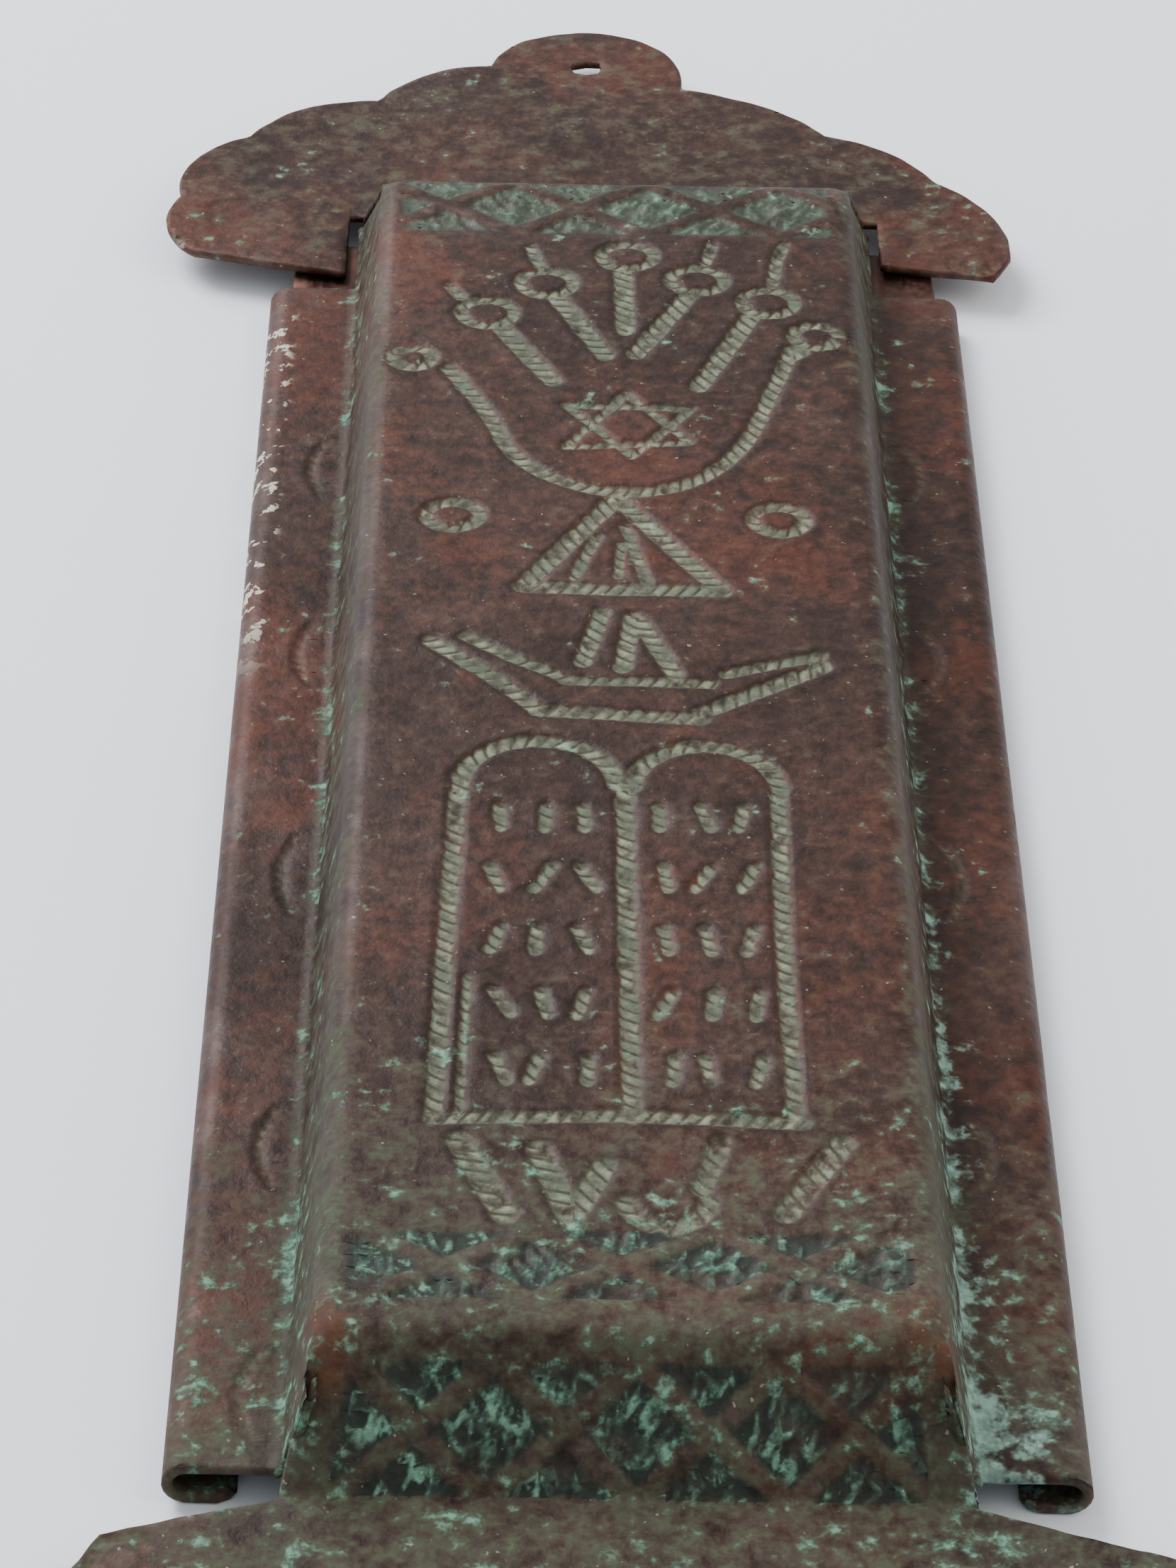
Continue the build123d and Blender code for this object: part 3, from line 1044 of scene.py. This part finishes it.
def readCopper(add, look):
    # all that the finish asks about a point: its place in mm, its sharpness, tool marks, grains and zones
    coords = add("TexCoord").outputs["Object"]
    inMm = add("VectorMath", {0: coords, "Scale": 1 / mm}, operation='SCALE').outputs[0]
    place = add("SeparateXYZ", {0: inMm}).outputs
    at = types.SimpleNamespace(x=place["X"], y=place["Y"], outward=add("abs", place["X"]),
                               point=add("NewGeometry").outputs["Pointiness"])
    for name in ("strokeEdge", "strokeAlong", "strokeAcross", "fieldEdge", "chiselEdge"):
        setattr(at, name, add("Attribute", attribute_name=name).outputs["Fac"])
    for name, (feature, *rest) in look["grains"].items():
        setattr(at, name, add("grain", coords, perMm(feature), *rest))
    for name, fades in look["zones"].items():
        masks = [add("step", getattr(at, axis), start, full) for axis, start, full in fades]
        setattr(at, name, functools.reduce(functools.partial(add, "*"), masks))
    stirSize, stirReach = look["crumbStir"]
    stir = add("TexNoise", {"Vector": coords, "Scale": perMm(stirSize), "Detail": 3.0}).outputs["Color"]
    stirred = add("VectorMath", {0: stir, 1: (stirReach * mm,) * 3, 2: coords}, operation='MULTIPLY_ADD')
    cells = add("TexVoronoi", {"Vector": stirred.outputs[0], "Scale": perMm(look["crumbSize"])})
    at.crumb = add("step", cells.outputs["Distance"], 0.62, 0.10)
    return at


def darkenMetal(add, at, look):
    # mottled brown, warmer where it is rubbed: the strips, the long edges and the hanging lobe
    colour = add("ramp", add("step", weigh(add, (at.broad, 0.35), (at.middle, 0.30), (at.crust, 0.35)),
                             0.38, 0.64), stops=look["browns"])
    worn = weigh(add, (at.wear, 1), (at.crust, 0.35), (at.strips, 0.09), (at.lobe, 0.14))
    edges = add("*", add("step", at.point, 0.515, 0.56), add("step", at.middle, 0.4, 0.6, 0.3, 1.0))
    worn = add("max", add("step", worn, 0.66, 0.92, 0, 0.65), add("*", edges, 0.55))
    colour = add("cover", worn, look["worn"], colour)

    # greyish olive film, thick low down and on the end plates, thin in the middle
    film = weigh(add, (at.crust, 0.5), (at.middle, 0.5), (at.lower, 0.20), (at.upper, 0.08),
                 (add("*", at.walls, at.onBox), 0.15))
    film = add("step", film, 0.54, 0.78)
    greenish = add("step", weigh(add, (at.crust, 0.6), (at.fine, 0.4)), 0.42, 0.60)
    filmTone = add("cover", greenish, look["filmGreen"], look["film"])
    colour = add("cover", add("*", film, 0.75), filmTone, colour)

    # grey mauve on the top edges, partly polish and partly a painted highlight along the rounded edges, bare
    # reddish metal on the bruised ridge ends
    polishAndHighlight = add("*", add("step", at.handling, 0.48, 0.66), add("step", at.point, 0.502, 0.53, 0.15, 1))
    colour = add("cover", add("*", polishAndHighlight, 0.45), look["polishAndHighlight"], colour)
    bare = add("*", at.bruises, add("step", at.middle, 0.42, 0.60, 0.1, 0.75))
    return add("cover", bare, look["bruised"], colour), film


def fillStrokes(add, at, look, colour):
    # the struck lines keep a dull olive filling with paler ticks, worn away in places
    slant = weigh(add, (at.strokeAlong, 1), (at.strokeAcross, tickSlant))
    wave = add("sin", add("*", slant, 2 * math.pi / strokeTick))
    fill = add("cover", add("*", add("step", wave, -0.3, 0.8), add("step", at.crust, 0.4, 0.6, 0.15, 0.75)),
               look["fillLight"], look["fill"])
    fill = add("cover", add("step", at.middle, 0.40, 0.60, 0, 0.75), look["fillDark"], fill)
    gaps = add("*", add("step", wave, -0.45, -0.85), add("step", at.crust, 0.40, 0.55, 0.2, 0.75))
    fill = add("cover", gaps, look["shade"], fill)
    kept = weigh(add, (at.crust, 0.55), (at.middle, 0.45), (at.lower, -0.05), (at.pastWalls, -0.14))
    inStroke = weigh(add, (add("-", at.crust, 0.5), 0.9), (at.strokeEdge, 1))
    filled = add("*", add("step", inStroke, 0.04, -0.24), add("step", kept, 0.34, 0.56, 0.10, 0.88))
    beside = add("*", add("step", at.strokeEdge, 0.6, 0.2), add("step", at.strokeEdge, -0.1, 0.2))
    colour = add("cover", add("*", beside, 0.35), look["shade"], colour)
    return add("cover", filled, fill, colour), filled


def colourFields(add, at, look, colour):
    # the sunk fields have a dark blue green ground with brighter cuts
    inField = add("step", weigh(add, (add("-", at.crust, 0.5), 0.8), (at.fieldEdge, 1)), 0.15, -0.25)
    cut = add("step", weigh(add, (add("-", at.fine, 0.5), 0.3), (at.chiselEdge, 1)), 0.06, -0.14)
    bright = add("step", weigh(add, (at.crust, 0.6), (at.middle, 0.4)), 0.47, 0.62, 0, 0.85)
    bright = add("+", bright, add("*", at.leftEnd, 0.5), use_clamp=True)
    cutTone = add("cover", bright, look["brightVerdigris"], look["verdigris"])
    struck = add("*", cut, add("step", at.crust, 0.36, 0.56, 0.2, 0.9))
    tone = add("cover", struck, cutTone, look["fieldGround"])
    tone = add("cover", add("*", at.upperBand, 0.6), look["fillDark"], tone)
    return add("cover", add("*", inField, add("step", at.middle, 0.34, 0.56, 0.35, 0.85)), tone, colour)


def growVerdigris(add, at, look, colour):
    # crumbs and crusts gather at the feet of the walls, low on the piece and at the strip ends
    foot, stripEnd = add("*", at.foot, at.onBox), add("*", at.stripEnd, at.onBox)
    rightFoot = add("*", add("*", at.rightFoot, at.onBox), add("*+", at.downRight, 0.7, 0.3))
    hollow = add("step", at.point, 0.488, 0.45)
    growth = weigh(add, (foot, 0.055), (hollow, 0.045), (stripEnd, 0.10), (at.lower, 0.06),
                   (rightFoot, 0.045), (at.crumb, 0.075), (at.crust, 0.52), (at.spread, 0.40))
    green = add("step", growth, 0.572, 0.70)
    tone = add("cover", add("step", weigh(add, (at.fine, 0.5), (at.crust, 0.5)), 0.47, 0.64),
               look["brightVerdigris"], look["verdigris"])
    pallor = add("+", rightFoot, stripEnd, use_clamp=True)
    tone = add("cover", add("*", pallor, add("*", at.crust, 0.9)), look["paleCrust"], tone)
    return add("cover", add("*", green, add("*+", pallor, 0.2, 0.66)), tone, colour), green


def chipEdges(add, at, look, colour):
    # pale crumbs all over, and cream chips along the left strip's upper edge
    crumbs = add("*", add("step", at.speckle, 0.70, 0.75), add("step", at.middle, 0.46, 0.58))
    chips = add("step", weigh(add, (at.crust, 0.5), (at.middle, 0.5)), 0.545, 0.565)
    chips = add("*", chips, add("+", at.stripChips, at.wingChips))
    pale = add("max", add("*", crumbs, 0.3), add("*", chips, 0.9))
    return add("cover", pale, look["cream"], colour), pale


def makeAgedCopper():
    # sheet copper, chased by hand, darkened with a chemical patina and rubbed back:
    # a dull purple brown with a little satin on worn edges, a painted grey mauve highlight along them and
    # green in the hollows
    material, tree = newMaterial("Patinated chased sheet copper")
    add = functools.partial(addNode, tree)
    look = agedCopperLook
    at = readCopper(add, look)
    colour, film = darkenMetal(add, at, look)
    colour, filled = fillStrokes(add, at, look, colour)
    colour = colourFields(add, at, look, colour)
    colour, green = growVerdigris(add, at, look, colour)
    grit = add("step", weigh(add, (at.fine, 0.55), (at.crust, 0.45)), 0.36, 0.64, 0.80, 1.16)
    colour = add("tint", 1.0, add("CombineXYZ", {0: grit, 1: grit, 2: grit}).outputs[0], colour)
    colour, pale = chipEdges(add, at, look, colour)

    matt = add("max", add("max", green, filled), add("max", add("*", film, 0.7), pale))
    unevenness = add("*+", add("-", at.crust, 0.5), 0.5, look["roughness"])
    rough = add("*+", matt, 0.35, unevenness, use_clamp=True)
    metal = add("*", add("-", 1.0, matt), look["metallic"])
    height = weigh(add, (at.middle, 0.16), (at.crust, 0.09), (at.fine, 0.04), (add("max", green, pale), 0.06))
    bump = add("Bump", {"Height": height, "Strength": 0.8, "Distance": mm})
    shader = add("BsdfPrincipled", {"Base Color": colour, "Roughness": rough, "Metallic": metal,
                                    "Normal": bump.outputs[0], "Specular IOR Level": 0.2})
    add("OutputMaterial", {0: shader.outputs[0]})
    return material


shadeDarkenedPlateLook = {
    # dulled copper tones, made darker as painted shade where the plate shows in the slots under the case
    "tones": ((0.0, "#35231D"), (0.5, "#4E3329"), (1.0, "#65463A")),
    "cloud": 18,               # mm
    "fine": 0.8,
    "scratch": 6,              # mm along the rolling lines, twelve times less across
    "metallic": 0.85,
}


def makeShadeDarkenedPlate():
    # plain rolled copper sheet left to dull and made darker still as painted shade for the shaded slots under
    # the case, a flat dark red brown with a low satin
    material, tree = newMaterial("Rolled copper plate darkened for painted shade")
    add = functools.partial(addNode, tree)
    look = shadeDarkenedPlateLook
    coords = add("TexCoord").outputs["Object"]
    cloud = add("grain", coords, perMm(look["cloud"]), 5, 0.6)
    fine = add("grain", coords, perMm(look["fine"]), 4, 0.6)
    rolled = add("Mapping", {0: coords, "Scale": (12, 1, 12)}).outputs[0]
    scratch = add("grain", rolled, perMm(look["scratch"]), 3, 0.5)
    tone = add("step", weigh(add, (cloud, 0.7), (fine, 0.3)), 0.36, 0.64)
    rough = add("step", weigh(add, (scratch, 0.6), (fine, 0.4)), 0.35, 0.65, 0.32, 0.58)
    bump = add("Bump", {"Height": add("*", scratch, 0.03), "Strength": 0.4, "Distance": mm})
    shader = add("BsdfPrincipled", {"Base Color": add("ramp", tone, stops=look["tones"]), "Roughness": rough,
                                    "Metallic": look["metallic"], "Normal": bump.outputs[0]})
    add("OutputMaterial", {0: shader.outputs[0]})
    return material


skinLook = {
    "tones": ((0.0, "#B89F74"), (0.55, "#D6C49C"), (1.0, "#E6DABB")),
    "cloud": 9,                # mm
    "fibre": 0.5,
    "roughness": 0.7,
}


def makeSkin():
    # calf parchment, scraped and limed, seen as warm cream with faint darker fibres
    material, tree = newMaterial("Scraped calf parchment")
    add = functools.partial(addNode, tree)
    look = skinLook
    coords = add("TexCoord").outputs["Object"]
    cloud = add("grain", coords, perMm(look["cloud"]), 5, 0.6)
    fibre = add("grain", coords, perMm(look["fibre"]), 4, 0.7)
    tone = add("step", weigh(add, (cloud, 0.7), (fibre, 0.3)), 0.35, 0.66)
    bump = add("Bump", {"Height": add("*", fibre, 0.02), "Strength": 0.5, "Distance": mm})
    shader = add("BsdfPrincipled", {"Base Color": add("ramp", tone, stops=look["tones"]),
                                    "Roughness": look["roughness"], "Normal": bump.outputs[0],
                                    "Subsurface Weight": 0.15, "Subsurface Scale": mm})
    add("OutputMaterial", {0: shader.outputs[0]})
    return material


print("mixing the finishes")
cover.data.materials.append(makeAgedCopper())
backPlate.data.materials.append(makeShadeDarkenedPlate())
parchment.data.materials.append(makeSkin())


floorSize = {"width": 3000, "below": 0.05}    # mm


def makeFloor():
    bm = flatGrid(2, 2, floorSize["width"], floorSize["width"])
    bmesh.ops.translate(bm, vec=(0, 0, -floorSize["below"]), verts=bm.verts)
    floor = finishMesh(bm, "floor", smooth=False)
    # melamine faced board, pressed smooth, seen as a plain cool white without gloss
    material, tree = newMaterial("White laminate table")
    shader = addNode(tree, "BsdfPrincipled", {"Base Color": "#F8FAFE", "Roughness": 0.55})
    addNode(tree, "OutputMaterial", {0: shader.outputs[0]})
    floor.data.materials.append(material)


def addLamp(name, place, power, width, colour):
    # square soft lamp facing the piece
    data = bpy.data.lights.new(name, 'AREA')
    data.energy, data.size = power, width * mm
    data.color = hexColour(colour)[:3]
    lamp = bpy.data.objects.new(name, data)
    bpy.context.scene.collection.objects.link(lamp)
    lamp.location = Vector(place) * mm
    lamp.rotation_euler = (-lamp.location).to_track_quat('-Z', 'Y').to_euler()


room = {
    "window": ((-380, 420, 500), 8.6, 450, "#F7F8FF"),      # mm, watts, mm across, colour
    "room": ((550, -100, 450), 2.0, 500, "#FFF4E6"),
    "air": "#E6EEF5",
    "airStrength": 0.88,
}
cameraView = {
    "place": (-6.444, -250.669, 192.261),      # mm
    "turn": (53.0957, -1.1710, -0.1195),       # degrees
    "lens": 114.74,
}

print("setting the table, the light and the camera")
makeFloor()
addLamp("windowLight", *room["window"])
addLamp("roomLight", *room["room"])
world = bpy.data.worlds.new("softRoom")
world.use_nodes = True
background = world.node_tree.nodes["Background"].inputs
background[0].default_value, background[1].default_value = hexColour(room["air"]), room["airStrength"]
bpy.context.scene.world = world

lens = bpy.data.cameras.new("camera")
lens.lens = cameraView["lens"]
camera = bpy.data.objects.new("camera", lens)
bpy.context.scene.collection.objects.link(camera)
camera.location = Vector(cameraView["place"]) * mm
camera.rotation_euler = Euler([math.radians(a) for a in cameraView["turn"]])
bpy.context.scene.camera = camera
